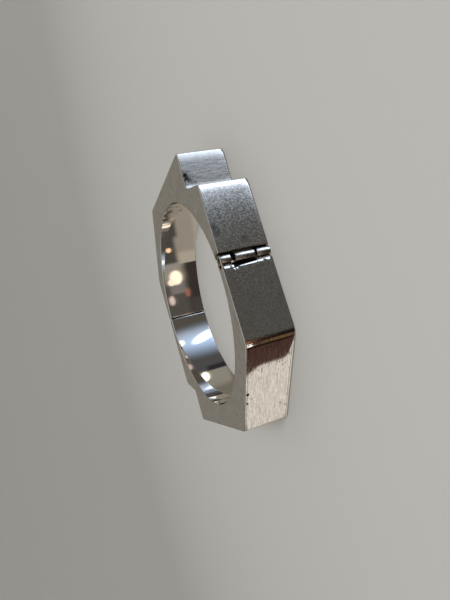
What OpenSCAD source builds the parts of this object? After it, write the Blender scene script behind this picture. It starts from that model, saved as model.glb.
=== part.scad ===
// Hinged bangle in sterling silver: a flat-sided hollow band in two halves, lying on its side.
// Origin: centre of the oval opening, on the side face that rests on the table. +Z runs through
// the opening, +X through the upright front face, +Y roughly towards the notched corner.
// The outline is the same after half a turn about Z, apart from the hinge and the clasp.

/* [Opening] */
// Opening from the hinge to the clasp, where the wrist goes through
opening_long = 59; // [57.5:0.5:66]
// Opening across that line
opening_short = 55.6; // [50:0.2:56.8]

/* [Band] */
// Width of the band, which is its height as it lies on its side
band_w = 12; // [11:0.5:20]
// Thickness of the silver sheet that the hollow halves are made of
sheet_t = 0.8; // [0.6:0.05:1]
// Bevel along the outer edges of both side faces
edge_bevel = 0.3; // [0.1:0.05:0.4]
// How far the flat that is worn on each outer corner reaches along both faces
corner_flat = 0.2; // [0.1:0.05:0.3]
// Length of solid metal on each side of the hinge and of the clasp
solid_reach = 10; // [9:0.5:13]

/* [Outer faces] */
// Direction that the hinge face looks in, in degrees from +X
hinge_turn = 44; // [40:1:48]
// Direction that the long sloping face looks in
slope_turn = 131; // [127:1:135]
// Direction that the short face in the notch looks in
step_turn = 40; // [38:1:44]
// Direction that the riser of the notch looks in
riser_turn = 115; // [110:1:120]
// Metal between the opening and the hinge face, and at the clasp
hinge_wall = 2.5; // [2.4:0.1:3.2]
// Metal between the opening and the upright front and back faces
front_wall = 5.2; // [4:0.1:7]
// Metal between the opening and the two sloping faces
slope_wall = 5.9; // [5:0.1:8]
// How far the notch reaches along the hinge face from the full corner
notch_long = 11.6; // [10:0.1:13]
// How far the notch reaches along the sloping face from the full corner
notch_deep = 7.6; // [6.5:0.1:8.5]

/* [Hinge] */
// How far the pin lies from the middle of the hinge face, towards the notch
pin_shift = 3.2; // [2.5:0.1:4.5]
// Outside diameter of the hinge knuckles, flush with the hinge face
barrel_d = 2.2; // [2:0.05:2.3]
// Diameter of the hinge pin
pin_d = 1; // [0.8:0.05:1.1]
// Radial clearance of the pin in the knuckles
pin_clear = 0.03; // [0.02:0.005:0.05]
// How far each end of the pin lies inside the side faces
pin_recess = 0.1; // [0.05:0.05:0.3]
// Length of the upper knuckle of the lower half
knuckle_high = 2.5; // [2:0.1:3.5]
// Length of the lower knuckle of the lower half
knuckle_low = 3.2; // [2:0.1:3.5]
// Space between the upper and the middle knuckle
gap_high = 1.1; // [0.4:0.1:1.3]
// Space between the lower and the middle knuckle
gap_low = 0.6; // [0.4:0.1:1.3]
// Groove between the knuckles and the hinge face of the upper half
groove_upper = 0.5; // [0.4:0.05:0.7]
// Groove between the outer knuckles and the hinge face of the lower half
groove_lower = 0.4; // [0.3:0.05:0.6]
// Extra width of that groove beside the middle knuckle
groove_middle = 0.45; // [0.3:0.05:0.8]
// Depth of a groove where the knuckle is soldered to its own half
groove_depth = 0.8; // [0.6:0.05:0.9]
// Depth of a groove where the knuckle belongs to the other half
seam_depth = 1.7; // [1.2:0.05:1.8]
// Bridge of solder that closes the lower groove at the upper side face
solder_bridge = 0.4; // [0.2:0.05:0.8]
// Width of the pit that the solder left open in that side face, beside the upper knuckle
pit_w = 1.2; // [0.6:0.1:1.3]
// Metal between the pit and the hinge face
pit_wall = 0.5; // [0.4:0.05:0.6]
// How far the pit reaches beyond the groove
pit_reach = 0.3; // [0.1:0.05:0.6]
// Depth of the pit
pit_depth = 1; // [0.4:0.1:1.5]
// Clearance of each knuckle in the round channel of the other half
channel_clear = 0.12; // [0.1:0.01:0.15]
// How far the halves reach under the knuckles, short of the pin's centre
lip_short = 0.65; // [0.6:0.05:0.9]

/* [Clasp] */
// How far the clasp seam lies from the middle of the clasp face, towards the upper half
clasp_shift = 1.7; // [0.5:0.1:2.5]
// Width of the seam between the closed halves
seam_gap = 0.15; // [0.1:0.05:0.3]
// Thickness of the tongue
tongue_t = 0.6; // [0.5:0.05:0.7]
// Width of the tongue along the band's width
tongue_w = 6; // [4:0.5:8]
// Length of the tongue beyond the seam
tongue_l = 4.5; // [3:0.5:5]
// Length of the tongue's root inside the upper half
tongue_root = 3.5; // [2.5:0.5:5]
// Clearance of the tongue in its slot
tongue_clear = 0.15; // [0.1:0.05:0.2]
// Clearance round the tongue's root
root_clear = 0.03; // [0.02:0.01:0.05]

/* [Hidden] */
silver = [0.78, 0.76, 0.72];
bright_silver = [0.9, 0.89, 0.87];
round_fn = 128;
// Size of a shape that has to reach past the whole bangle, and how far a cut runs past a face
big = 4 * opening_long;
past = 1;

// The oval is drawn with four arcs: two tight ends and two flatter sides that meet them smoothly.
// Its ends are a little tighter than an ellipse's.
end_share = 0.95;
long_r = opening_long / 2;
short_r = opening_short / 2;
major_r = max(long_r, short_r);
minor_r = min(long_r, short_r);
end_r = end_share * minor_r * minor_r / major_r;
side_r = (major_r * major_r + minor_r * minor_r - 2 * major_r * end_r) / (2 * (minor_r - end_r));
end_x = major_r - end_r;
side_y = side_r - minor_r;
arc_turn = atan2(side_y, end_x);
oval_turn = hinge_turn + (long_r < short_r ? 90 : 0);

// Distance from the centre to an outer face: the oval's reach in that direction, and the wall.
function oval_reach(turn) = norm([long_r * cos(turn - hinge_turn), short_r * sin(turn - hinge_turn)]);
hinge_reach = oval_reach(hinge_turn) + hinge_wall;
front_reach = oval_reach(0) + front_wall;
slope_reach = oval_reach(slope_turn) + slope_wall;

// Point where two lines cross, each given by the direction it faces and its distance.
function crossing(turn_a, reach_a, turn_b, reach_b) =
    [reach_a * sin(turn_b) - reach_b * sin(turn_a), reach_b * cos(turn_a) - reach_a * cos(turn_b)]
    / sin(turn_b - turn_a);
function facing(turn) = [cos(turn), sin(turn)];
function along(turn) = [-sin(turn), cos(turn)];

full_corner = crossing(hinge_turn, hinge_reach, slope_turn, slope_reach);
riser_top = full_corner - notch_long * along(hinge_turn);
step_top = full_corner + notch_deep * along(slope_turn);
riser_reach = riser_top * facing(riser_turn);
step_reach = step_top * facing(step_turn);

// One row for each outer face of half the outline: direction and distance.
// The other half is the same after half a turn.
HALF_FACES = [
    [0, front_reach],
    [hinge_turn, hinge_reach],
    [riser_turn, riser_reach],
    [step_turn, step_reach],
    [slope_turn, slope_reach],
];
FACES = concat(HALF_FACES, [for (face = HALF_FACES) [face[0] + 180, face[1]]]);
n_faces = len(FACES);
riser_row = 2;
step_row = 3;
function row(i) = i % len(HALF_FACES);
function corner(i, inset = 0) =
    let (face_a = FACES[i % n_faces], face_b = FACES[(i + 1) % n_faces])
    crossing(face_a[0], face_a[1] - inset, face_b[0], face_b[1] - inset);
function worn_corner(i, inset) = row(i) == riser_row ? [corner(i, inset)] : [
    corner(i, inset) - corner_flat * along(FACES[i][0]),
    corner(i, inset) + corner_flat * along(FACES[(i + 1) % n_faces][0]),
];

// Hinge, in a frame whose x looks out of the hinge face.
barrel_r = barrel_d / 2;
pin_x = hinge_reach - barrel_r;
bore_r = pin_d / 2 + pin_clear;
upper_end = pin_shift + barrel_r + groove_upper;
lower_end = pin_shift - barrel_r - groove_lower;
knuckle_mid = band_w - knuckle_high - gap_high - gap_low - knuckle_low;
mid_z = knuckle_low + gap_low;
high_z = band_w - knuckle_high;

// Clasp: the tongue is a strip bent round the hinge pin, so that it slides out without binding.
tongue_r = norm([pin_x + long_r + hinge_wall / 2, pin_shift - clasp_shift]);
tongue_z = (band_w - tongue_w) / 2;

module oval(inset) {
    strip_w = 2 * (end_x + (end_r + inset) * cos(arc_turn));
    rotate(oval_turn) {
        for (side = [-1, 1])
            translate([side * end_x, 0])
                circle(r = end_r + inset, $fn = round_fn);
        intersection() {
            translate([0, -side_y])
                circle(r = side_r + inset, $fn = round_fn);
            translate([0, side_y])
                circle(r = side_r + inset, $fn = round_fn);
            square([strip_w, big], center = true);
        }
    }
}

module outline(inset) {
    polygon([for (i = [0 : n_faces - 1]) each worn_corner(i, inset)]);
}

// Flat shape of one half of the band: side is 1 for the upper half and -1 for the lower one.
module half_shape(inset, side, hinge_end, clasp_end) {
    intersection() {
        difference() {
            outline(inset);
            oval(inset);
        }
        rotate(hinge_turn) {
            translate([big / 2, hinge_end + side * big / 2])
                square(big, center = true);
            translate([-big / 2, clasp_end + side * big / 2])
                square(big, center = true);
        }
    }
}

module edge_bevels() {
    side_w = edge_bevel * sqrt(2);
    for (i = [0 : n_faces - 1]) {
        turn = FACES[i][0];
        from = corner(i + n_faces - 1) * along(turn) - (row(i) == step_row ? 0 : edge_bevel);
        to = corner(i) * along(turn) + (row(i) == riser_row ? 0 : edge_bevel);
        for (z = [0, band_w])
            rotate(turn)
                translate([FACES[i][1], (from + to) / 2, z])
                    rotate([0, 45, 0])
                        cube([side_w, to - from, side_w], center = true);
    }
}

module hollow(side) {
    translate([0, 0, sheet_t])
        linear_extrude(band_w - 2 * sheet_t)
            half_shape(sheet_t, side, side * solid_reach, side * solid_reach);
}

module at_hinge() {
    rotate(hinge_turn)
        children();
}

// Round bar on the pin's line, for the knuckles, their channels, the bore and the pin.
module pin_line(r, z, length) {
    at_hinge()
        translate([pin_x, pin_shift, z])
            cylinder(r = r, h = length, $fn = round_fn);
}

module channel(z, length) {
    pin_line(barrel_r + channel_clear, z, length);
}

// Groove in the hinge face, from the face's end to beyond the pin.
module groove(end, side, depth, z, length) {
    at_hinge()
        translate([hinge_reach - depth, min(end, end - side * barrel_d), z])
            cube([depth + past, barrel_d, length]);
}

// Room for a knuckle of the other half: a round channel and a deep groove over it.
module open_seam(end, side, z, length) {
    channel(z, length);
    groove(end, side, seam_depth, z, length);
}

module solder_pit() {
    at_hinge()
        translate([hinge_reach - pit_wall - pit_w, lower_end - pit_reach, band_w - pit_depth])
            cube([pit_w, pit_reach + barrel_d, pit_depth + past]);
}

module bore() {
    pin_line(bore_r, -past, band_w + 2 * past);
}

// The tongue's strip between two distances along the clasp face, with room round it.
module tongue_strip(from, to, clear) {
    translate([0, 0, tongue_z - clear])
        linear_extrude(tongue_w + 2 * clear)
            at_hinge()
                intersection() {
                    translate([pin_x, pin_shift])
                        difference() {
                            circle(r = tongue_r + tongue_t / 2 + clear, $fn = round_fn);
                            circle(r = tongue_r - tongue_t / 2 - clear, $fn = round_fn);
                        }
                    translate([-big, from])
                        square([big, to - from]);
                }
}

module upper_half() {
    color(silver)
        difference() {
            union() {
                difference() {
                    linear_extrude(band_w)
                        half_shape(0, 1, pin_shift + lip_short, clasp_shift + seam_gap / 2);
                    groove(upper_end, 1, groove_depth, -past, band_w + 2 * past);
                    open_seam(upper_end, 1, -past, mid_z + past);
                    open_seam(upper_end, 1, mid_z + knuckle_mid, band_w);
                }
                pin_line(barrel_r, mid_z, knuckle_mid);
            }
            hollow(1);
            edge_bevels();
            bore();
            tongue_strip(clasp_shift, clasp_shift + tongue_root + root_clear, root_clear);
        }
}

module lower_half() {
    color(silver)
        difference() {
            union() {
                difference() {
                    linear_extrude(band_w)
                        half_shape(0, -1, pin_shift - lip_short, clasp_shift - seam_gap / 2);
                    groove(lower_end, -1, groove_depth, -past, band_w - solder_bridge + past);
                    open_seam(lower_end - groove_middle, -1, knuckle_low, high_z - knuckle_low);
                    solder_pit();
                }
                pin_line(barrel_r, 0, knuckle_low);
                pin_line(barrel_r, high_z, knuckle_high);
            }
            hollow(-1);
            edge_bevels();
            bore();
            tongue_strip(clasp_shift - tongue_l - tongue_clear, clasp_shift, tongue_clear);
        }
}

module hinge_pin() {
    color(bright_silver)
        pin_line(pin_d / 2, pin_recess, band_w - 2 * pin_recess);
}

module clasp_tongue() {
    color(bright_silver)
        tongue_strip(clasp_shift - tongue_l, clasp_shift + tongue_root, 0);
}

upper_half();
lower_half();
hinge_pin();
clasp_tongue();
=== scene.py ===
import logging
import math
from dataclasses import dataclass, field
from enum import Enum
from typing import Iterable

import bmesh
import bpy
import numpy as np
from mathutils import Matrix, Vector


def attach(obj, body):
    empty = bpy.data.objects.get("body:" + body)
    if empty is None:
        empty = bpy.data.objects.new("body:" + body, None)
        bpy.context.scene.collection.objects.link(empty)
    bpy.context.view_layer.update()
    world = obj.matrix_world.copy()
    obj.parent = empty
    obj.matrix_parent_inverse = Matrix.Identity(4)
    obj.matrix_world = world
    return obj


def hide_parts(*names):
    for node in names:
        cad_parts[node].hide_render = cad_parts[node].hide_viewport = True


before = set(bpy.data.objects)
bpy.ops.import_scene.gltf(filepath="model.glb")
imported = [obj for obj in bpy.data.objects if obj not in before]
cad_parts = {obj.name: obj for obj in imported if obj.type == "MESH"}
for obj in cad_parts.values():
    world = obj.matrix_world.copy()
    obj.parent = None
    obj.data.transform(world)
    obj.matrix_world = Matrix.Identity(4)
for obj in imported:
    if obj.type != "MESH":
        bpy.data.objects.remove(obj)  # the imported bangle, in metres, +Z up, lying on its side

# Hinged silver bangle. Both hollow halves are meshed anew from the shape's own rule, with worn
# edges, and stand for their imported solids. Sizes are in millimetres and degrees unless a name says
# otherwise. "Along" and "out" are measured on the hinge line: out of the hinge face, and along it
# towards the notched corner.

Array = np.ndarray
Pair = tuple[float, float]
Point = tuple[float, float, float]
Colour = tuple[float, float, float, float]
Material, Mesh, Tree = bpy.types.Material, bpy.types.Mesh, bpy.types.NodeTree
Socket, Sockets = bpy.types.NodeSocket, bpy.types.NodeOutputs

log = logging.getLogger("bangle")
MM = 0.001
BIG = 100.0
FACES = 10  # outer faces round the band
RISERS = (2, 7)  # faces that go down into a notch, each followed by the notch's other face
PAST = 1.0  # how far a cutter stands out past what it cuts
ROUND_PARTS = 72
WORN_EDGE_PARTS = 4


class Half(Enum):
    """The two hinged halves of the band. The value is the side of the hinge line they lie on."""

    UPPER = 1
    LOWER = -1

    @property
    def body(self) -> str:
        """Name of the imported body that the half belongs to."""
        return self.name.lower()

    @property
    def node(self) -> str:
        """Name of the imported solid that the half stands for."""
        return f"{self.body}_half"


class Skin(Enum):
    """The surfaces of a half, in the order of its material slots."""

    FACET = 0
    STEP = 1
    HINGE_FACE = 2
    FRONT = 3
    SIDE = 4
    LINING = 5
    KNUCKLE = 6
    RECESS = 7


def unit(turn: float) -> Array:
    """Direction in the plane of the table, from its angle to +X in degrees."""
    return np.array([math.cos(math.radians(turn)), math.sin(math.radians(turn))])


def along(turn: float) -> Array:
    """Direction along a face that looks towards an angle, a quarter turn on."""
    return unit(turn + 90)


def spread(start: float, stop: float, step: float) -> Array:
    """Evenly spaced values from start to stop, both included.

    Args:
        start: First value.
        stop: Last value.
        step: Largest distance between two values.

    Returns:
        The values in order.
    """
    count = max(1, math.ceil(abs(stop - start) / step))
    return np.linspace(start, stop, count + 1)


@dataclass(frozen=True)
class Station:
    """A place along a half where its cross-section stands.

    Attributes:
        face: Number of the outer face, or of the corner after it.
        share: How far along that face or round that corner, from 0 to 1.
        on_corner: Whether the place is on the rounded corner.
        from_end: Distance from the nearer cut end of the half.
    """

    face: int
    share: float
    on_corner: bool
    from_end: float = BIG


def crossing(face_a: Pair, face_b: Pair) -> Array:
    """Point where the lines of two faces cross."""
    rows = np.array([unit(face_a[0]), unit(face_b[0])])
    return np.linalg.solve(rows, np.array([face_a[1], face_b[1]]))


@dataclass(frozen=True)
class BandShape:
    """The rule of the band's outline and opening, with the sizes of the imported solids."""

    opening_long: float = 59.0
    opening_short: float = 55.6
    end_share: float = 0.95
    width: float = 12.0
    hinge_turn: float = 44.0
    slope_turn: float = 131.0
    step_turn: float = 40.0
    riser_turn: float = 115.0
    hinge_wall: float = 2.5
    front_wall: float = 5.2
    slope_wall: float = 5.9
    notch_long: float = 11.6
    notch_deep: float = 7.6
    corner_r: float = 0.4
    notch_r: float = 0.4
    least_r: float = 0.02

    @property
    def hinge_reach(self) -> float:
        """Distance of the hinge face from the centre."""
        return self.opening_long / 2 + self.hinge_wall

    @property
    def end_r(self) -> float:
        """Radius of the oval's two tight ends."""
        return self.end_share * self.opening_short**2 / self.opening_long / 2

    @property
    def side_r(self) -> float:
        """Radius of the oval's two flatter sides."""
        long_r, short_r = self.opening_long / 2, self.opening_short / 2
        return (long_r**2 + short_r**2 - 2 * long_r * self.end_r) / (2 * (short_r - self.end_r))

    @property
    def end_x(self) -> float:
        """Distance of an end arc's centre from the middle."""
        return self.opening_long / 2 - self.end_r

    @property
    def side_y(self) -> float:
        """Distance of a side arc's centre from the middle."""
        return self.side_r - self.opening_short / 2

    @property
    def arc_turn(self) -> float:
        """Angle at which an end arc passes into a side arc."""
        return math.degrees(math.atan2(self.side_y, self.end_x))

    def oval_reach(self, turn: float) -> float:
        """Reach of the opening in one direction."""
        off = math.radians(turn - self.hinge_turn)
        return math.hypot(self.opening_long / 2 * math.cos(off), self.opening_short / 2 * math.sin(off))

    def faces(self) -> list[Pair]:
        """All outer faces in order round the band.

        Returns:
            Direction and distance of each face.
        """
        slope_reach = self.oval_reach(self.slope_turn) + self.slope_wall
        full = crossing((self.hinge_turn, self.hinge_reach), (self.slope_turn, slope_reach))
        riser_top = full - self.notch_long * along(self.hinge_turn)
        step_top = full + self.notch_deep * along(self.slope_turn)
        half = [
            (0.0, self.oval_reach(0) + self.front_wall),
            (self.hinge_turn, self.hinge_reach),
            (self.riser_turn, float(riser_top @ unit(self.riser_turn))),
            (self.step_turn, float(step_top @ unit(self.step_turn))),
            (self.slope_turn, slope_reach),
        ]
        return half + [(turn + 180, reach) for turn, reach in half]

    def corner(self, i: int, inset: float) -> Array:
        """Sharp corner after face i of the outline, which is drawn in by inset.

        Args:
            i: Number of the face before the corner.
            inset: How far the outline is drawn in.

        Returns:
            The corner's place.
        """
        faces = self.faces()
        (turn_a, reach_a), (turn_b, reach_b) = faces[i % FACES], faces[(i + 1) % FACES]
        return crossing((turn_a, reach_a - inset), (turn_b, reach_b - inset))

    def corner_arc(self, i: int, inset: float) -> tuple[Array, float, float]:
        """Rounding of the corner after face i.

        Args:
            i: Number of the face before the corner.
            inset: How far the outline is drawn in.

        Returns:
            Centre of the arc, its signed radius and the turn through it.
        """
        faces = self.faces()
        turn_a, turn_b = faces[i % FACES][0], faces[(i + 1) % FACES][0]
        bend = (turn_b - turn_a + 180) % 360 - 180
        sign = math.copysign(1, bend)
        radius = max((self.corner_r if sign > 0 else self.notch_r) - sign * inset, self.least_r)
        reach = radius * math.tan(math.radians(abs(bend)) / 2)
        first = self.corner(i, inset) - reach * along(turn_a)
        return first - sign * radius * unit(turn_a), sign * radius, bend

    def corner_point(self, i: int, share: float, inset: float) -> Array:
        """Point on the rounded corner after face i."""
        centre, radius, bend = self.corner_arc(i, inset)
        return centre + radius * unit(self.faces()[i % FACES][0] + share * bend)

    def to_part(self, out: float, side: float) -> Array:
        """Point of the part's plane from its two distances on the hinge line."""
        return out * unit(self.hinge_turn) + side * along(self.hinge_turn)

    def oval_point(self, turn: float, grow: float) -> Array:
        """Point of the opening's wall, on the hinge line's axes.

        Args:
            turn: Direction of the wall's normal there.
            grow: How far the opening is widened.

        Returns:
            Its distances out of and along the hinge face.
        """
        turn = (turn + 180) % 360 - 180
        if abs(turn) <= self.arc_turn:
            centre, radius = (self.end_x, 0.0), self.end_r
        elif abs(turn) >= 180 - self.arc_turn:
            centre, radius = (-self.end_x, 0.0), self.end_r
        else:
            centre, radius = (0.0, -math.copysign(self.side_y, turn)), self.side_r
        return np.array(centre) + (radius + grow) * unit(turn)


@dataclass(frozen=True)
class HingeShape:
    """Sizes of the hinge on the hinge line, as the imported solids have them."""

    pin_side: float = 3.2
    barrel_r: float = 1.2
    pin_out: float = 30.9
    bore_r: float = 0.53
    knuckle_high: float = 2.5
    knuckle_low: float = 3.2
    gap_high: float = 1.1
    gap_low: float = 0.6
    channel_r: float = 1.3
    shallow: float = 0.8
    deep: float = 1.7
    upper_rim: float = 4.6
    lip_short: float = 0.65
    solder_bridge: float = 0.4
    knuckle_edge: float = 0.09
    rim_round: float = 0.16
    rim_turns: tuple[float, ...] = (0, 20, 40, 60)
    rim_out: float = 1.5
    seat: float = 1.0
    pit_wall: float = 0.5
    pit_side: float = 1.4
    hair: float = 0.01

    def spans(self, width: float) -> dict[str, Pair]:
        """Heights at which the knuckles start and end, from the rest face up.

        Args:
            width: Width of the band.

        Returns:
            Bottom and top of each knuckle, by its name.
        """
        return {
            "low": (0.0, self.knuckle_low),
            "middle": (self.knuckle_low + self.gap_low, width - self.knuckle_high - self.gap_high),
            "high": (width - self.knuckle_high, width),
        }


@dataclass(frozen=True)
class ClaspShape:
    """Sizes of the clasp on the hinge line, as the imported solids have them."""

    seam_side: float = 1.7
    seam_gap: float = 0.15
    tongue_t: float = 0.6
    tongue_w: float = 6.0
    tongue_l: float = 4.5
    clear: float = 0.15
    slot_mouth: float = 0.5
    slot_step: float = 0.6


def new_object(name: str, mesh: Mesh) -> bpy.types.Object:
    """Puts a mesh into the scene as an object at the origin.

    Args:
        name: Name of the object.
        mesh: Its mesh.

    Returns:
        The object.
    """
    piece = bpy.data.objects.new(name, mesh)
    bpy.context.scene.collection.objects.link(piece)
    return piece


def mesh_of(name: str, verts: Iterable, faces: Iterable) -> Mesh:
    """Makes a mesh with outward faces from corners in millimetres.

    Args:
        name: Name of the mesh.
        verts: Places of the corners, in millimetres.
        faces: Corner numbers of each face.

    Returns:
        The mesh, in metres.
    """
    mesh = bpy.data.meshes.new(name)
    mesh.from_pydata([Vector(v) * MM for v in verts], [], [list(f) for f in faces])
    made = bmesh.new()
    made.from_mesh(mesh)
    bmesh.ops.recalc_face_normals(made, faces=made.faces)
    made.to_mesh(mesh)
    made.free()
    return mesh


def loft(name: str, rings: list[list[Point]]) -> Mesh:
    """Closed mesh through rings of equal length, with flat ends.

    Args:
        name: Name of the mesh.
        rings: Corners of each ring, in millimetres.

    Returns:
        The closed mesh.
    """
    count = len(rings[0])
    faces = [list(range(count)), [(len(rings) - 1) * count + j for j in range(count)]]
    for k in range(len(rings) - 1):
        for j in range(count):
            a, b = k * count + j, k * count + (j + 1) % count
            faces.append([a, b, b + count, a + count])
    return mesh_of(name, [p for ring in rings for p in ring], faces)


# ridge number: how far it is rolled off, or filled where less than 0, and how far that reaches
ROLLS = {1: (0.06, 1.3), 2: (-0.08, 0.8), 3: (0.14, 1.9), 5: (0.2, 1.8)}
TOP_RIDGES = (1, 3)


@dataclass
class BandHalf:
    """One half of the band: its hollow body, drawn as a closed skin, with the knuckles on it.

    The half is worked out as the upper one, and the lower one is the same turned by half a turn,
    so that the places of its cut ends change sign.
    """

    half: Half
    shape: BandShape
    hinge: HingeShape
    clasp: ClaspShape
    face_step: float = 0.8
    near_round: float = 0.14
    far_rounds: tuple[float, ...] = (0.35, 0.35, 0.35, 0.6, 0.45, 0.35)
    far_worn: float = 0.4
    far_reach: float = 0.8
    lining_round: float = 0.2
    end_round: float = 0.16
    clasp_round: float = 0.55
    rim_drop: float = 0.04
    rim_reach: float = 1.5
    rolls: dict[int, Pair] = field(default_factory=lambda: dict(ROLLS))
    edge_lines: tuple[float, ...] = (0.0, 0.14, 0.32, 0.6, 1.0)
    line_gap: float = 0.1
    level_margin: float = 1.0
    arc_parts: int = 5
    side_parts: int = 9

    def cut_ends(self) -> Pair:
        """Places of the first and the last cut end along the hinge line, before any turn.

        Returns:
            Place of the first cut end and of the last.
        """
        hinge_end = self.hinge.pin_side + self.half.value * self.hinge.lip_short
        clasp_end = self.clasp.seam_side + self.half.value * self.clasp.seam_gap / 2
        if self.half is Half.UPPER:
            return hinge_end, clasp_end
        return -clasp_end, -hinge_end

    def graded(self, length: float) -> list[float]:
        """Shares of a length at which mesh lines lie, closer together near both ends.

        Args:
            length: Length to divide, in millimetres.

        Returns:
            The shares in order, from 0 to 1.
        """
        near = [d for d in self.edge_lines if d < length / 2 - self.line_gap]
        middle = spread(near[-1], length - near[-1], self.face_step)[1:-1]
        return [d / length for d in [*near, *middle, *[length - d for d in reversed(near)]]]

    def face_ends(self, face: int, inset: float) -> tuple[Array, Array]:
        """Both ends of an outer face's straight stretch, in the plane of the part.

        Args:
            face: Number of the face.
            inset: How far the outline is drawn in.

        Returns:
            Its first end and its last.
        """
        shape, (start, stop) = self.shape, self.cut_ends()
        reach = shape.hinge_reach - inset
        first = shape.to_part(reach, start) if face == 1 else shape.corner_point(face - 1, 1, inset)
        last = shape.to_part(-reach, stop) if face == 6 else shape.corner_point(face, 0, inset)
        return first, last

    def stations(self) -> list[Station]:
        """All places along the half where a cross-section stands, from cut end to cut end.

        Returns:
            The stations in order.
        """
        found = []
        for face in range(1, 7):
            first, last = self.face_ends(face, 0)
            length = float(np.linalg.norm(last - first))
            for share in self.graded(length):
                from_start = share * length if face == 1 else BIG
                from_stop = (1 - share) * length if face == 6 else BIG
                found.append(Station(face, share, False, min(from_start, from_stop)))
            if face < 6:
                inner = range(1, self.arc_parts)
                found += [Station(face, j / self.arc_parts, True) for j in inner]
        return found

    def ridge_gaps(self, place: Station) -> dict[int, float]:
        """Distance of a station from each worn ridge that its face ends at, by the ridge's number.

        Args:
            place: The station.

        Returns:
            Distance by the ridge's number.
        """
        if place.on_corner:
            return {place.face: 0.0} if place.face in self.rolls else {}
        first, last = self.face_ends(place.face, 0)
        length = float(np.linalg.norm(last - first))
        ends = {place.face - 1: place.share * length, place.face: (1 - place.share) * length}
        return {ridge: gap for ridge, gap in ends.items() if ridge in self.rolls}

    def rolled(self, place: Station) -> float:
        """How far a face is rolled off towards its ridges at a station, or a notch is filled.

        Args:
            place: The station.

        Returns:
            Depth to draw the face in, below 0 where a notch is filled.
        """
        total = 0.0
        for ridge, gap in self.ridge_gaps(place).items():
            drop, reach = self.rolls[ridge]
            total += drop * max(0.0, 1 - gap / reach) ** 2
        return total

    def outer_point(self, place: Station, inset: float) -> Array:
        """Point of the drawn-in outline at a station.

        Args:
            place: The station.
            inset: How far the outline is drawn in.

        Returns:
            The point, in the plane of the part.
        """
        drop = self.rolled(place)
        if place.on_corner:
            return self.shape.corner_point(place.face, place.share, inset + drop)
        first, last = self.face_ends(place.face, inset + drop)
        return first + place.share * (last - first)

    def inner_point(self, share: float, grow: float) -> Array:
        """Point of the widened opening's wall, at a share of the way between the cut ends.

        Args:
            share: Share of the way.
            grow: How far the opening is widened.

        Returns:
            The point, in the plane of the part.
        """
        start, stop = self.cut_ends()
        radius = self.shape.end_r + grow
        first = math.degrees(math.asin(start / radius))
        last = 180 - math.degrees(math.asin(stop / radius))
        turn = first + share * (last - first)
        return self.shape.to_part(*self.shape.oval_point(turn, grow))

    def far_rim(self, place: Station) -> float:
        """Rounding of the rim on the rest side, which is worn wider at the two top ridges.

        Args:
            place: The station.

        Returns:
            Radius of the rounding.
        """
        usual = self.far_rounds[place.face - 1]
        if place.on_corner:
            usual += place.share * (self.far_rounds[place.face] - usual)
        gaps = self.ridge_gaps(place)
        gap = min((gaps[ridge] for ridge in TOP_RIDGES if ridge in gaps), default=BIG)
        return usual + self.far_worn * math.exp(-((gap / self.far_reach) ** 2))

    def levels(self, far: float) -> tuple[list[Pair], list[Pair]]:
        """Draws the cross-section's two walls.

        Args:
            far: Rounding of the rim on the rest side.

        Returns:
            How far each point is drawn in and its height: up the outer wall, then down the lining.
        """
        width, near, rim, low = self.shape.width, self.near_round, self.lining_round, self.rim_drop
        turns = [math.radians(90 * j / self.arc_parts) for j in range(self.arc_parts + 1)]
        usual = width - self.level_margin

        def rise(low_end: float, high_end: float) -> list[float]:
            """Heights of the mesh lines on a wall between two roundings."""
            return [low_end + share * (high_end - low_end) for share in self.graded(usual)][1:-1]

        outer = [(low + far * (1 - math.sin(t)), far * (1 - math.cos(t))) for t in turns]
        heights = rise(far, width - near)
        outer += [(low * max(0.0, 1 - (z - far) / self.rim_reach) ** 2, z) for z in heights]
        outer += [(near * (1 - math.cos(t)), width - near * (1 - math.sin(t))) for t in turns]
        inner = [(rim * (1 - math.sin(t)), width - rim * (1 - math.cos(t))) for t in turns]
        inner += [(0.0, z) for z in reversed(rise(rim, width - rim))]
        inner += [(rim * (1 - math.cos(t)), rim * (1 - math.sin(t))) for t in turns]
        return outer, inner

    def ring(self, place: Station, share: float) -> list[Point]:
        """Cross-section at one station, as a closed ring of points.

        Args:
            place: The station.
            share: Share of the way round the lining.

        Returns:
            Points of the ring, in millimetres.
        """
        clasp_face = 6 if self.half is Half.UPPER else 1
        width, edge = self.shape.width, self.clasp_round if place.face == clasp_face else self.end_round
        left = max(0.0, 1 - place.from_end / edge)
        shrink = edge * (1 - math.sqrt(1 - left * left))
        squeeze = (width - 2 * shrink) / width
        outer, inner = self.levels(self.far_rim(place))
        wall = [(*self.outer_point(place, d + shrink), shrink + z * squeeze) for d, z in outer]
        lining = [(*self.inner_point(share, d + shrink), shrink + z * squeeze) for d, z in inner]

        def across(a: tuple, b: tuple) -> list[Point]:
            """Points between two rims, closer together near both."""
            gaps = self.graded(float(np.linalg.norm(np.subtract(b, a))))[1:-1]
            wanted = np.linspace(0, 1, self.side_parts + 2)[1:-1]
            picked = np.interp(wanted, np.linspace(0, 1, len(gaps)), gaps)
            return [tuple(np.array(a) + f * np.subtract(b, a)) for f in picked]

        return wall + across(wall[-1], lining[0]) + lining + across(lining[-1], wall[0])

    def body(self) -> Mesh:
        """Closed skin of the half, before the hinge is cut into it.

        Returns:
            The skin's mesh.
        """
        places = self.stations()
        turns = []
        for place in places:
            spot = self.outer_point(place, 0)
            turns.append(math.degrees(math.atan2(spot[1], spot[0])) - self.shape.hinge_turn)
        turns = np.unwrap(turns, period=360)
        shares = (turns - turns[0]) / (turns[-1] - turns[0])
        rings = [self.ring(place, share) for place, share in zip(places, shares)]
        if self.half is Half.LOWER:
            rings = [[(-x, -y, z) for x, y, z in ring] for ring in rings]
        return loft(self.half.node, rings)

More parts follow.
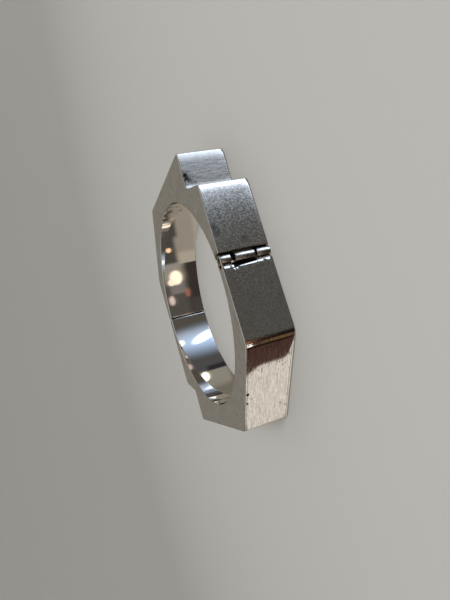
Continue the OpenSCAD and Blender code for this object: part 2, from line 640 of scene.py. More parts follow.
    def groove_rows(self) -> list[Point]:
        """Rim and floor of the groove in the hinge face, row by row up the band.

        Returns:
            Height, place of the rim and distance of the floor from the centre of each row.
        """
        hinge, reach, width = self.hinge, self.shape.hinge_reach, self.shape.width
        shallow, deep = reach - hinge.shallow, reach - hinge.deep
        if self.half is Half.UPPER:
            return [(-PAST, hinge.upper_rim, shallow), (width + PAST, hinge.upper_rim, shallow)]
        seat, last_rim = reach - hinge.seat, 1.55
        rows = [(-PAST, 1.68, shallow), (3.45, 1.45, shallow), (3.6, 1.43, deep), (8.4, 1.13, deep)]
        rows += [(8.5, 1.0, seat), (9.25, 0.8, seat), (9.45, last_rim, shallow)]
        return [*rows, (width - hinge.solder_bridge, last_rim, shallow)]

    def groove_ring(self, z: float, rim: float, floor: float) -> list[Point]:
        """Outline of the groove at one height, with a rim that is worn round.

        Args:
            z: Height of the ring.
            rim: Place of the groove's rim.
            floor: Distance of its floor from the centre.

        Returns:
            Points of the ring.
        """
        side, worn, reach = self.half.value, self.hinge.rim_round, self.shape.hinge_reach
        beyond = self.hinge.pin_side - side * self.hinge.lip_short
        turns = [math.radians(t) for t in self.hinge.rim_turns]
        top = reach - worn
        lip = [(top + worn * math.sin(t), rim + side * worn * (1 - math.cos(t))) for t in turns]
        way, step = turns[-1], self.hinge.rim_out
        out = (lip[-1][0] + step * math.cos(way), lip[-1][1] + side * step * math.sin(way))
        flat = [(floor, beyond), (floor, rim), *lip, out, (out[0], beyond)]
        return [(*self.shape.to_part(o, s), z) for o, s in flat]

    def box_ring(self, z: float, out: Pair, side: Pair) -> list:
        """Rectangle on the hinge line's axes at one height."""
        flat = [(out[0], side[0]), (out[1], side[0]), (out[1], side[1]), (out[0], side[1])]
        return [(*self.shape.to_part(o, s), z) for o, s in flat]

    def cutters(self) -> list[Mesh]:
        """Closed bodies that are cut out of the half: its grooves, its pit and the clasp's slot.

        Returns:
            Mesh of each cutter.
        """
        hinge, width, reach = self.hinge, self.shape.width, self.shape.hinge_reach
        cuts = [loft("groove", [self.groove_ring(*row) for row in self.groove_rows()])]
        if self.half is Half.UPPER:
            low, _, high = hinge.spans(width).values()
            middle = hinge.spans(width)["middle"]
            for bottom, top in ((low[0] - PAST, middle[0]), (middle[1], high[1] + PAST)):
                rows = [(z, hinge.upper_rim, reach - hinge.deep) for z in (bottom, top)]
                cuts.append(loft("seam", [self.groove_ring(*row) for row in rows]))
        else:
            out, side = (reach - hinge.deep, reach - hinge.pit_wall), (hinge.pit_side, hinge.pin_side)
            pit = [(z, out, side) for z in (width - PAST, width + PAST)]
            cuts.append(loft("pit", [self.box_ring(*row) for row in pit]))
            cuts.append(self.slot_cutter())
        return cuts

    def slot_cutter(self) -> Mesh:
        """Bent slot for the clasp tongue.

        Returns:
            Mesh of the cutter.
        """
        clasp, shape, hinge = self.clasp, self.shape, self.hinge
        pin_out = hinge.pin_out
        middle = pin_out + shape.opening_long / 2 + shape.hinge_wall / 2
        radius = math.hypot(middle, hinge.pin_side - clasp.seam_side)
        half_t = clasp.tongue_t / 2 + clasp.clear
        half_w = clasp.tongue_w / 2 + clasp.clear
        rings = []
        end = clasp.seam_side - clasp.tongue_l - clasp.clear
        for side in spread(clasp.seam_side + clasp.slot_mouth, end, clasp.slot_step):
            down = side - hinge.pin_side
            outs = [pin_out - math.sqrt((radius + d) ** 2 - down**2) for d in (half_t, -half_t)]
            spots = [shape.to_part(out, side) for out in outs]
            low, high = shape.width / 2 - half_w, shape.width / 2 + half_w
            rings.append([(*spots[0], low), (*spots[1], low), (*spots[1], high), (*spots[0], high)])
        return loft("slot", rings)


class Graph:
    """A node tree being laid out: it adds nodes and joins their sockets."""

    def __init__(self, tree: Tree) -> None:
        """Starts on an empty tree."""
        self.tree = tree

    def add(self, kind: str, feeds: dict | None = None, **settings: object) -> bpy.types.Node:
        """Adds a node.

        Args:
            kind: Type name of the node.
            feeds: What goes into its sockets, by name or number: a value or another socket.
            settings: Other properties of the node.

        Returns:
            The node.
        """
        node = self.tree.nodes.new(kind)
        for name, value in settings.items():
            setattr(node, name, value)
        for key, value in (feeds or {}).items():
            self.feed(node.inputs[key], value)
        return node

    def feed(self, socket: Socket, value: object) -> None:
        """Joins a socket to another one, or sets its value.

        Args:
            socket: The socket that is fed.
            value: The other socket or the value.
        """
        if isinstance(value, Socket):
            self.tree.links.new(value, socket)
        else:
            socket.default_value = value

    def math(self, operation: str, *values: object, clamp: bool = False) -> Socket:
        """Result of a sum on numbers.

        Args:
            operation: Name of the sum.
            values: Its numbers, or sockets that give them.
            clamp: Whether the result is held between 0 and 1.

        Returns:
            Socket of the result.
        """
        feeds = dict(enumerate(values))
        node = self.add("ShaderNodeMath", feeds, operation=operation, use_clamp=clamp)
        return node.outputs[0]

    def times(self, *values: object) -> Socket:
        """Product of two numbers."""
        return self.math("MULTIPLY", *values)

    def plus(self, *values: object, clamp: bool = False) -> Socket:
        """Sum of two numbers."""
        return self.math("ADD", *values, clamp=clamp)

    def minus(self, *values: object, clamp: bool = False) -> Socket:
        """First number less the second."""
        return self.math("SUBTRACT", *values, clamp=clamp)

    def span(self, value: object, low: float, high: float, to_low: float = 0.0) -> Socket:
        """Maps a number smoothly from one range to the range up to 1, and holds it at both ends.

        Args:
            value: The number.
            low: Where the first range starts.
            high: Where it ends.
            to_low: Where the other range starts.

        Returns:
            Socket of the result.
        """
        feeds = {"Value": value, "From Min": low, "From Max": high, "To Min": to_low, "To Max": 1.0}
        node = self.add("ShaderNodeMapRange", feeds, interpolation_type="SMOOTHSTEP")
        return node.outputs[0]

    def blend(self, share: object, first: object, second: object) -> Socket:
        """Mixes two colours.

        Args:
            share: Share of the second colour.
            first: First colour.
            second: Second colour.

        Returns:
            Socket of the mixed colour.
        """
        node = self.add("ShaderNodeMix", data_type="RGBA")
        for key, value in ((0, share), (6, first), (7, second)):
            self.feed(node.inputs[key], value)
        return node.outputs[2]


def add_sockets(tree: Tree, given: dict[str, float | str], found: dict[str, str]) -> None:
    """Gives a tree its named inputs and outputs.

    Args:
        tree: The tree.
        given: Kind of each input, or the first value of one that is a number.
        found: Kind of each output.
    """
    for side, sockets in (("INPUT", given), ("OUTPUT", found)):
        for name, kind in sockets.items():
            number = isinstance(kind, float)
            full = "NodeSocketFloat" if number else f"NodeSocket{kind}"
            socket = tree.interface.new_socket(name=name, in_out=side, socket_type=full)
            if number:
                socket.default_value = kind


def on_pin(g: Graph, shape: Socket, given: Sockets, name: str = "") -> Socket:
    """Sets a round body on the pin's line.

    Args:
        g: Graph to add to.
        shape: The body, with its middle at the origin.
        given: The tree's inputs, which hold the pin's place and the body's height.
        name: What the names of the body's own inputs start with.

    Returns:
        The body in its place.
    """
    lift = g.plus(given[f"{name}Base"], g.times(given[f"{name}Length"], 0.5))
    rise = g.add("ShaderNodeCombineXYZ", {"Z": lift}).outputs[0]
    place = g.add("ShaderNodeVectorMath", {0: given["Pin Place"], 1: rise}, operation="ADD")
    feeds = {"Geometry": shape, "Translation": place.outputs[0]}
    return g.add("GeometryNodeTransform", feeds).outputs[0]


def set_inputs(modifier: bpy.types.Modifier, values: dict[str, object]) -> None:
    """Sets a Geometry Nodes modifier's inputs, found by name and set by identifier.

    Args:
        modifier: The modifier.
        values: Each input's value by its name.
    """
    for item in modifier.node_group.interface.items_tree:
        if item.item_type == "SOCKET" and item.in_out == "INPUT" and item.name in values:
            modifier[item.identifier] = values[item.name]


def settle(piece: bpy.types.Object) -> None:
    """Turns a piece and its modifiers into a plain mesh.

    Args:
        piece: The piece, which is changed.
    """
    bpy.context.view_layer.update()
    graph = bpy.context.evaluated_depsgraph_get()
    solved = piece.evaluated_get(graph)
    mesh = bpy.data.meshes.new_from_object(solved, preserve_all_data_layers=True, depsgraph=graph)
    piece.modifiers.clear()
    piece.data = mesh


def knuckle_tree() -> Tree:
    """Node group of one hinge knuckle: a rounded bar profile swept round the pin's line.

    Returns:
        The node group.
    """
    tree = bpy.data.node_groups.new("Barrel Knuckle", "GeometryNodeTree")
    sizes = {"Barrel Radius": 0.0011, "Bore Radius": 0.0005, "Worn Edge": 0.0001, "Base": 0.0}
    add_sockets(tree, {**sizes, "Length": 0.003, "Pin Place": "Vector"}, {"Knuckle": "Geometry"})
    g = Graph(tree)
    given = g.add("NodeGroupInput").outputs
    wall = g.minus(given["Barrel Radius"], given["Bore Radius"])
    ring_r = g.plus(given["Bore Radius"], g.times(wall, 0.5))
    ring = g.add("GeometryNodeCurvePrimitiveCircle", {"Resolution": ROUND_PARTS, "Radius": ring_r})
    sides = {"Width": wall, "Height": given["Length"]}
    bar = g.add("GeometryNodeCurvePrimitiveQuadrilateral", sides)
    worn = g.add("GeometryNodeFilletCurve", {"Curve": bar.outputs[0], "Radius": given["Worn Edge"]})
    if "Mode" in worn.inputs:
        worn.inputs["Mode"].default_value = "Poly"
    else:
        worn.mode = "POLY"
    worn.inputs["Count"].default_value = WORN_EDGE_PARTS
    feeds = {"Curve": ring.outputs[0], "Profile Curve": worn.outputs[0]}
    swept = g.add("GeometryNodeCurveToMesh", feeds).outputs[0]
    g.add("NodeGroupOutput", {"Knuckle": on_pin(g, swept, given)})
    return tree


@dataclass
class HingeTree:
    """Geometry Nodes that cut a half's room for the hinge and solder its own knuckles on."""

    half: Half
    hinge: HingeShape
    shape: BandShape
    knuckle: Tree

    def own(self) -> dict[str, Pair]:
        """Heights of the half's own knuckles, by name.

        Returns:
            Bottom and top of each knuckle.
        """
        spans = self.hinge.spans(self.shape.width)
        names = ["middle"] if self.half is Half.UPPER else ["low", "high"]
        return {name: spans[name] for name in names}

    def rooms(self) -> dict[str, Pair]:
        """Heights of the rooms for the other half's knuckles, a hair short of the half's own.

        Returns:
            Bottom and top of each room, by the knuckle's name.
        """
        width, hair = self.shape.width, self.hinge.hair
        spans = self.hinge.spans(width)
        if self.half is Half.UPPER:
            bottom, top = spans["middle"]
            return {"low": (-PAST, bottom - hair), "high": (top + hair, width + PAST)}
        return {"middle": (spans["low"][1] + hair, spans["high"][0] - hair)}

    def build(self, metal: Material, cuts: int) -> Tree:
        """Builds the tree.

        Args:
            metal: Material of the finished half.
            cuts: Number of cutters.

        Returns:
            The tree, with the sizes of the hinge and the cutters as named inputs.
        """
        tree = bpy.data.node_groups.new(f"{self.half.name.title()} Hinge", "GeometryNodeTree")
        named = [name.title() for name in self.own()]
        named += [f"{name.title()} Room" for name in self.rooms()]
        radii = ("Barrel Radius", "Bore Radius", "Channel Radius", "Worn Edge")
        given_sockets: dict[str, float | str] = {"Geometry": "Geometry"}
        given_sockets.update(dict.fromkeys(radii, 0.0))
        given_sockets["Pin Place"] = "Vector"
        given_sockets.update({f"{name} {part}": 0.0 for name in named for part in ("Base", "Length")})
        given_sockets.update({f"Cutter {i + 1}": "Object" for i in range(cuts)})
        add_sockets(tree, given_sockets, {"Geometry": "Geometry"})
        g = Graph(tree)
        given = g.add("NodeGroupInput").outputs
        shape = given["Geometry"]
        for i in range(cuts):
            cutter = g.add("GeometryNodeObjectInfo", {"Object": given[f"Cutter {i + 1}"]})
            shape = self.cut(g, shape, cutter.outputs["Geometry"])
        for name in self.rooms():
            shape = self.cut(g, shape, self.channel(g, given, f"{name.title()} Room"))
        barrels = [self.barrel(g, given, name.title()) for name in self.own()]
        join = g.add("GeometryNodeMeshBoolean", operation="UNION", solver="EXACT")
        for part in [shape, *barrels]:
            g.feed(join.inputs[1], part)
        single = g.add("GeometryNodeRealizeInstances", {"Geometry": join.outputs[0]})
        feeds = {"Geometry": single.outputs[0], "Material": metal}
        dressed = g.add("GeometryNodeSetMaterial", feeds)
        g.add("NodeGroupOutput", {"Geometry": dressed.outputs[0]})
        return tree

    def cut(self, g: Graph, shape: Socket, cutter: Socket) -> Socket:
        """Takes one body out of another.

        Args:
            g: Graph to add to.
            shape: The body that is cut.
            cutter: The body that is taken out.

        Returns:
            What is left.
        """
        feeds = {0: shape, 1: cutter}
        node = g.add("GeometryNodeMeshBoolean", feeds, operation="DIFFERENCE", solver="EXACT")
        return node.outputs[0]

    def barrel(self, g: Graph, given: Sockets, name: str) -> Socket:
        """One of the half's own knuckles.

        Args:
            g: Graph to add to.
            given: The tree's inputs.
            name: Name of the knuckle.

        Returns:
            The knuckle's mesh.
        """
        node = g.add("GeometryNodeGroup", node_tree=self.knuckle)
        for socket in ("Barrel Radius", "Bore Radius", "Worn Edge", "Pin Place"):
            g.feed(node.inputs[socket], given[socket])
        g.feed(node.inputs["Base"], given[f"{name} Base"])
        g.feed(node.inputs["Length"], given[f"{name} Length"])
        return node.outputs[0]

    def channel(self, g: Graph, given: Sockets, name: str) -> Socket:
        """Round room for one of the other half's knuckles.

        Args:
            g: Graph to add to.
            given: The tree's inputs.
            name: Name of the room.

        Returns:
            The room's mesh.
        """
        radius, length = given["Channel Radius"], given[f"{name} Length"]
        sizes = {"Vertices": ROUND_PARTS, "Radius": radius, "Depth": length}
        bar = g.add("GeometryNodeMeshCylinder", sizes)
        return on_pin(g, bar.outputs["Mesh"], given, f"{name} ")

    def inputs(self, cutters: list[bpy.types.Object]) -> dict[str, object]:
        """Values of the tree's inputs, in metres.

        Args:
            cutters: Objects whose meshes are cut out.

        Returns:
            Each input's value by its name.
        """
        hinge, shape = self.hinge, self.shape
        x, y = shape.to_part(hinge.pin_out, hinge.pin_side) * MM
        values: dict[str, object] = {
            "Barrel Radius": hinge.barrel_r * MM,
            "Bore Radius": hinge.bore_r * MM,
            "Channel Radius": hinge.channel_r * MM,
            "Worn Edge": hinge.knuckle_edge * MM,
            "Pin Place": (float(x), float(y), 0.0),
        }
        named = {name.title(): span for name, span in self.own().items()}
        named.update({f"{name.title()} Room": span for name, span in self.rooms().items()})
        for name, (bottom, top) in named.items():
            values[f"{name} Base"] = bottom * MM
            values[f"{name} Length"] = (top - bottom) * MM
        values.update({f"Cutter {i + 1}": cutter for i, cutter in enumerate(cutters)})
        return values


@dataclass
class SkinSorter:
    """Sorts a half's faces into skins and measures where its metal is worn and where its hinge crevices
    are darkened with tarnish and painted shade.
    """

    shape: BandShape
    hinge: HingeShape
    near: float = 0.45
    knuckle_play: float = 0.05
    barrel_play: float = 0.02
    least_match: float = 0.5
    least_inward: float = 0.4
    least_level: float = 0.72
    ridge_wear: float = 0.6
    rim_wear: float = 0.32
    rim_share: float = 0.85
    lining_wear: float = 0.35
    # where the hinge's crevices are darkened: tarnish and painted shade
    dirt_depth: float = 0.8
    dirt_side: float = 0.3
    dirt_half: float = 1.5
    dirt_fade: float = 0.35

    def depths(self, spots: Array) -> Array:
        """Distance of each spot inside each of the ten face planes.

        Args:
            spots: Places, in millimetres.

        Returns:
            One column for each face plane.
        """
        turns = np.array([turn for turn, _ in self.shape.faces()])
        reaches = np.array([reach for _, reach in self.shape.faces()])
        return reaches - spots[:, :2] @ np.array([unit(t) for t in turns]).T

    def wall_ways(self, spots: Array) -> tuple[Array, Array, Array]:
        """Finds the arc of the opening's wall that each spot is nearest to.

        Args:
            spots: Places, in millimetres.

        Returns:
            The spots on the hinge line's axes, their ways from the arc's centre as if all lay in the
            first quarter, and whether the arc is one of the tight ends.
        """
        shape = self.shape
        place = np.stack(self.on_hinge(spots), 1)
        out, side = np.abs(place.T)
        on_end = np.degrees(np.arctan2(side, out - shape.end_x)) <= shape.arc_turn
        to_end = np.stack([out - shape.end_x, side], 1)
        to_side = np.stack([out, side + shape.side_y], 1)
        return place, np.where(on_end[:, None], to_end, to_side), on_end

    def wall_depth(self, spots: Array) -> Array:
        """Distance of each spot outside the oval opening."""
        _, ways, on_end = self.wall_ways(spots)
        return np.hypot(*ways.T) - np.where(on_end, self.shape.end_r, self.shape.side_r)

    def wall_normals(self, spots: Array) -> Array:
        """Exact normals of the oval opening's wall, looking into the opening.

        Args:
            spots: Places, in millimetres.

        Returns:
            One normal for each spot.
        """
        place, ways, _ = self.wall_ways(spots)
        ways = -ways * np.where(place < 0, -1, 1) / np.linalg.norm(ways, axis=1)[:, None]
        axes = np.array([unit(self.shape.hinge_turn), along(self.shape.hinge_turn)])
        return np.column_stack([ways @ axes, np.zeros(len(ways))])

    def on_hinge(self, spots: Array) -> tuple[Array, Array]:
        """Distances of each spot on the hinge line's axes: out of the face, and along it."""
        shape = self.shape
        return spots[:, :2] @ unit(shape.hinge_turn), spots[:, :2] @ along(shape.hinge_turn)

    def skins(self, spots: Array, normals: Array, own: Iterable[Pair]) -> Array:
        """Skin of each face of a half.

        Args:
            spots: Centres of the faces, in millimetres.
            normals: Their normals.
            own: Heights at which the half's own knuckles start and end.

        Returns:
            Slot number of each face's skin.
        """
        kinds = [Skin.FRONT, Skin.HINGE_FACE, Skin.STEP, Skin.STEP, Skin.FACET] * 2
        turns = np.array([unit(turn) for turn, _ in self.shape.faces()])
        match = normals[:, :2] @ turns.T
        match[(np.abs(self.depths(spots)) > self.near) | (match < self.least_match)] = -1
        best = match.argmax(1)
        skin = np.array([kind.value for kind in kinds])[best]
        skin[match.max(1) < 0] = Skin.RECESS.value
        inward = -(normals[:, :2] * spots[:, :2]).sum(1) / np.linalg.norm(spots[:, :2], axis=1)
        wall = np.abs(self.wall_depth(spots)) < self.near
        skin[wall & (inward > self.least_inward)] = Skin.LINING.value
        on_side = (spots[:, 2] > self.shape.width - self.near) | (spots[:, 2] < self.near)
        skin[on_side & (np.abs(normals[:, 2]) > self.least_level)] = Skin.SIDE.value
        out, side = self.on_hinge(spots)
        from_pin = np.hypot(out - self.hinge.pin_out, side - self.hinge.pin_side)
        near_pin = from_pin < self.hinge.barrel_r + self.barrel_play
        for bottom, top in own:
            over = spots[:, 2] > bottom - self.knuckle_play
            under = spots[:, 2] < top + self.knuckle_play
            skin[over & under & near_pin] = Skin.KNUCKLE.value
        return skin

    def wear(self, spots: Array) -> Array:
        """How far each spot is rubbed bright, from 0 to 1: most on the outer ridges and the rims.

        Args:
            spots: Places, in millimetres.

        Returns:
            One number for each spot.
        """
        ridge = np.full(len(spots), BIG)
        for i in range(FACES):
            centre, radius, bend = self.shape.corner_arc(i, 0)
            if bend > 0:
                tip = centre + radius * unit(self.shape.faces()[i][0] + bend / 2)
                ridge = np.minimum(ridge, np.hypot(*(spots[:, :2] - tip).T))
        up = np.minimum(spots[:, 2], self.shape.width - spots[:, 2])
        rim = np.hypot(self.outer_depth(spots), up)
        lining = np.hypot(self.wall_depth(spots), up)
        on_ridge = np.exp(-((ridge / self.ridge_wear) ** 2))
        on_rim = self.rim_share * np.exp(-((rim / self.rim_wear) ** 2))
        on_lining = np.exp(-((lining / self.lining_wear) ** 2))
        return np.clip(np.maximum.reduce([on_ridge, on_rim, on_lining]), 0, 1)

    def outer_depth(self, spots: Array) -> Array:
        """Distance of each spot inside the outline, notches included.

        Args:
            spots: Places, in millimetres.

        Returns:
            One distance for each spot, 0 where it is outside.
        """
        depth = self.depths(spots)
        notches = [np.maximum(depth[:, i], depth[:, i + 1]) for i in RISERS]
        notch_faces = {i + j for i in RISERS for j in (0, 1)}
        flat = depth[:, [i for i in range(FACES) if i not in notch_faces]].min(1)
        return np.maximum(np.minimum.reduce([flat, *notches]), 0)

    def crevice(self, spots: Array) -> Array:
        """How far each spot in the hinge's crevices is darkened, from 0 to 1: tarnish that polish
        misses, and painted shade where the grooves lie in shadow.

        Args:
            spots: Places, in millimetres.

        Returns:
            One number for each spot.
        """
        out, side = self.on_hinge(spots)
        deep = np.clip((self.shape.hinge_reach - out) / self.dirt_depth, 0, 1)
        off = np.abs(side - self.hinge.pin_side - self.dirt_side) - self.dirt_half
        close = np.exp(-((np.maximum(off, 0) / self.dirt_fade) ** 2))
        return np.clip(np.where(out > 0, deep * close, 0), 0, 1)


def store(mesh: Mesh, name: str, values: Array) -> None:
    """Keeps one number for each corner of a mesh under a name that materials can read."""
    layer = mesh.attributes.new(name, "FLOAT", "POINT")
    layer.data.foreach_set("value", values.astype(np.float32))


def vectors(items: bpy.types.bpy_prop_collection, key: str, scale: float = 1.0) -> Array:
    """Reads one vector of each item of a mesh, as rows.

    Args:
        items: The mesh's corners, faces or corner normals.
        key: Name of the vector.
        scale: What it is multiplied by.

    Returns:
        One row for each item.
    """
    flat = np.zeros(len(items) * 3, np.float32)
    items.foreach_get(key, flat)
    return flat.reshape(-1, 3).astype(float) * scale


@dataclass
class Bangle:
    """The whole bangle: both halves with their skins, the hinge pin and the clasp tongue."""

    finishes: dict[Skin, Material]
    shape: BandShape = field(default_factory=BandShape)
    hinge: HingeShape = field(default_factory=HingeShape)
    clasp: ClaspShape = field(default_factory=ClaspShape)
    sharp_turn: float = 32.0
    flat_weight: int = 100
    flat_play: float = 0.01
    wall_play: float = 0.02

    def build_half(self, half: Half, knuckle: Tree) -> bpy.types.Object:
        """Builds one half and sets it in the frame.

        Args:
            half: Which half.
            knuckle: Node group of one knuckle.

        Returns:
            The finished half.
        """
        band = BandHalf(half, self.shape, self.hinge, self.clasp)
        piece = new_object(f"{half.body}_band", band.body())
        cutters = [new_object(f"cutter_{i}", mesh) for i, mesh in enumerate(band.cutters())]
        maker = HingeTree(half, self.hinge, self.shape, knuckle)
        modifier = piece.modifiers.new("Hinge", "NODES")
        modifier.node_group = maker.build(self.finishes[Skin.HINGE_FACE], len(cutters))
        set_inputs(modifier, maker.inputs(cutters))
        settle(piece)
        for cutter in cutters:
            bpy.data.objects.remove(cutter)
        self.dress(piece, maker.own().values())
        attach(piece, half.body)
        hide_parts(half.node)
        log.info("%s: %d faces", piece.name, len(piece.data.polygons))
        return piece

    def dress(self, piece: bpy.types.Object, own: Iterable[Pair]) -> None:
        """Gives a half its skins, its worn places, its crevices darkened with tarnish and painted
        shade, and its shading.

        Args:
            piece: The half.
            own: Heights at which its own knuckles start and end.
        """
        mesh, sorter = piece.data, SkinSorter(self.shape, self.hinge)
        mesh.materials.clear()
        for skin in Skin:
            mesh.materials.append(self.finishes[skin])
        spots, normals = vectors(mesh.polygons, "center", 1 / MM), vectors(mesh.polygons, "normal")
        skins = sorter.skins(spots, normals, own)
        mesh.polygons.foreach_set("material_index", skins.astype(np.int32))
        corners = vectors(mesh.vertices, "co", 1 / MM)
        store(mesh, "wear", sorter.wear(corners))
        # crevice mask: darkens the hinge's hollows with tarnish and painted shade
        store(mesh, "crevice", sorter.crevice(corners))
        mesh.polygons.foreach_set("use_smooth", np.ones(len(mesh.polygons), bool))
        mesh.set_sharp_from_angle(angle=math.radians(self.sharp_turn))
        modifier = piece.modifiers.new("Even Shading", "WEIGHTED_NORMAL")
        modifier.keep_sharp = True
        modifier.weight = self.flat_weight
        settle(piece)
        self.polish(piece.data, sorter)

    def polish(self, mesh: Mesh, sorter: SkinSorter) -> None:
        """Gives the lining the exact normals of its oval, so that its mirror images are smooth.

        Args:
            mesh: Mesh of the half.
            sorter: Sorter that knows the oval.
        """
        normals = vectors(mesh.corner_normals, "vector")
        corner_of = np.zeros(len(mesh.loops), np.int32)
        mesh.loops.foreach_get("vertex_index", corner_of)
        spots = vectors(mesh.vertices, "co", 1 / MM)[corner_of]
        lengths = np.zeros(len(mesh.polygons), np.int32)
        slots = np.zeros(len(mesh.polygons), np.int32)
        mesh.polygons.foreach_get("loop_total", lengths)
        mesh.polygons.foreach_get("material_index", slots)
        edge = BandHalf.lining_round - self.flat_play
        flat = (spots[:, 2] > edge) & (spots[:, 2] < self.shape.width - edge)
        lining = np.repeat(slots, lengths) == Skin.LINING.value
        wall = flat & lining & (sorter.wall_depth(spots) < self.wall_play)
        normals[wall] = sorter.wall_normals(spots[wall])
        mesh.normals_split_custom_set(normals.tolist())


SILVER: Colour = (0.92, 0.9, 0.87, 1.0)
# warm tarnish colour; in the hinge's crevices it also carries painted shade
TARNISH_AND_CREVICE_SHADE: Colour = (0.42, 0.36, 0.28, 1.0)
# near-black for real pits, stains and seams, and for painted shade in the hinge's crevices
DIRT_AND_PAINTED_SHADE: Colour = (0.03, 0.027, 0.024, 1.0)
GROOVE: Colour = (0.22, 0.19, 0.16, 1.0)

# heights of the fine relief and how far the seams wander, in metres
GRAIN_HIGH = 0.0000022
SCRATCH_DEEP = 0.0000025
RIPPLE_HIGH = 0.00004
PIT_DEEP = 0.00003
SEAM_WANDER = 0.00022

# how the films and marks change the roughness
FILM_ROUGH = 0.15
STREAK_ROUGH = 0.4
SCUFF_ROUGH = 0.15
RUBBED_SMOOTH = 0.35
PIT_ROUGH = 0.6


def effect(name: str, given: dict[str, float | str], *found: str) -> tuple[Graph, Sockets]:
    """Starts a shader node group.

    Args:
        name: Name of the group.
        given: Kind of each input, or the first value of one that is a number.
        found: Names of its outputs, all numbers.

    Returns:
        The group's graph and the sockets of its inputs.
    """
    tree = bpy.data.node_groups.new(name, "ShaderNodeTree")
    add_sockets(tree, given, dict.fromkeys(found, "Float"))
    g = Graph(tree)
    return g, g.add("NodeGroupInput").outputs


def noise(g: Graph, place: object, scale: object, detail: float = 2.0, bend: float = 0.0) -> Socket:
    """Soft random value that changes from place to place."""
    feeds = {"Vector": place, "Scale": scale, "Detail": detail, "Distortion": bend}
    return g.add("ShaderNodeTexNoise", feeds).outputs["Fac"]


def brushed_grain() -> Tree:
    """Group: fine lines of a brush or emery paper, with a softer sparkle between them.

    Returns:
        The node group.
    """
    sockets = {"Place": "Vector", "Run": "Vector", "Fineness": 9000.0, "Sparkle": 0.5}
    g, given = effect("Brushed Grain", sockets, "Height", "Streaks")
    feeds = {0: given["Place"], 1: given["Run"]}
    stretched = g.add("ShaderNodeVectorMath", feeds, operation="MULTIPLY").outputs[0]
    lines = noise(g, stretched, given["Fineness"], 3.0)
    wide = noise(g, stretched, g.times(given["Fineness"], 0.5))
    specks = noise(g, given["Place"], given["Fineness"])
    speck_part = g.times(given["Sparkle"], specks)
    height = g.plus(g.times(lines, g.minus(1.0, given["Sparkle"])), speck_part)
    streaks = g.span(g.plus(g.times(lines, 0.5), g.times(wide, 0.5)), 0.35, 0.65)
    g.add("NodeGroupOutput", {"Height": height, "Streaks": streaks})
    return g.tree


def fine_scratches() -> Tree:
    """Group: thin curved scratches of daily wear, in two directions.

    Returns:
        The node group.
    """
    sockets = {"Place": "Vector", "Scale": 1300.0, "Width": 0.035}
    g, given = effect("Fine Scratches", sockets, "Lines")
    found = []
    for turn, seed in ((0.5, (0.0, 0.0, 0.0)), (2.2, (0.7, 0.3, 0.9))):
        feeds = {"Vector": given["Place"], "Location": seed, "Rotation": (turn, turn, turn)}
        turned = g.add("ShaderNodeMapping", {**feeds, "Scale": (1.0, 0.25, 1.0)}).outputs[0]
        off = g.math("ABSOLUTE", g.minus(noise(g, turned, given["Scale"], 0.0, 0.2), 0.5))
        line = g.minus(1.0, g.math("DIVIDE", off, given["Width"]), clamp=True)
        breaks = g.span(noise(g, turned, g.times(given["Scale"], 1.7)), 0.48, 0.6)
        found.append(g.times(line, breaks))
    g.add("NodeGroupOutput", {"Lines": g.math("MAXIMUM", *found)})
    return g.tree


def edge_wear() -> Tree:
    """Group: where an edge is rubbed bright, broken up a little along its length.

    Returns:
        The node group.
    """
    sockets = {"Place": "Vector", "Wear": 0.0, "Unevenness": 0.4}
    g, given = effect("Edge Wear", sockets, "Rubbed")
    patches = noise(g, given["Place"], 900.0, 3.0)
    uneven = g.times(g.minus(patches, 0.5), given["Unevenness"])
    g.add("NodeGroupOutput", {"Rubbed": g.span(g.plus(given["Wear"], uneven), 0.25, 0.8)})
    return g.tree


def tarnish_film() -> Tree:
    """Group: the warm film that gathers in clouds, plus the hinge's crevice mask, which adds tarnish
    and painted shade in its corners.

    Returns:
        The node group.
    """
    sockets = {"Place": "Vector", "Amount": 0.2, "Crevice": 0.0}
    g, given = effect("Tarnish Film", sockets, "Film")
    clouds = g.span(noise(g, given["Place"], 170.0, 4.0, 0.4), 0.42, 0.68)
    spread_out = g.times(clouds, given["Amount"])
    g.add("NodeGroupOutput", {"Film": g.plus(spread_out, given["Crevice"], clamp=True)})
    return g.tree


def solder_seam() -> Tree:
    """Group: the two fine lines where the side plates are soldered to the outer strip.

    Returns:
        The node group.
    """
    sockets = {"Place": "Vector", "Upper Line": 0.01137, "Lower Line": 0.00078, "Width": 0.00012}
    g, given = effect("Solder Seam", sockets, "Seam")
    height = g.add("ShaderNodeSeparateXYZ", {"Vector": given["Place"]}).outputs["Z"]
    wander = g.times(g.minus(noise(g, given["Place"], 160.0), 0.5), SEAM_WANDER)
    height = g.plus(height, wander)
    seams = ("Upper Line", "Lower Line")
    gaps = [g.math("ABSOLUTE", g.minus(height, given[name])) for name in seams]
    share = g.math("DIVIDE", g.math("MINIMUM", *gaps), given["Width"])
    open_part = g.span(noise(g, given["Place"], 700.0, 2.0), 0.4, 0.6, 0.7)
    g.add("NodeGroupOutput", {"Seam": g.times(g.span(share, 1.0, 0.3), open_part)})
    return g.tree


def worn_spot() -> Tree:
    """Group: one small mark, such as a pit or a nick, with a ragged edge.

    Returns:
        The node group.
    """
    sockets = {"Place": "Vector", "Centre": "Vector", "Radius": 0.0005, "Ragged": 0.5}
    g, given = effect("Worn Spot", sockets, "Mark")
    feeds = {0: given["Place"], 1: given["Centre"]}
    gap = g.add("ShaderNodeVectorMath", feeds, operation="DISTANCE").outputs["Value"]
    share = g.math("DIVIDE", gap, given["Radius"])
    rough = g.times(g.minus(noise(g, given["Place"], 3500.0, 2.0), 0.5), given["Ragged"])
    g.add("NodeGroupOutput", {"Mark": g.span(g.plus(share, g.times(rough, 2.0)), 1.0, 0.45)})
    return g.tree


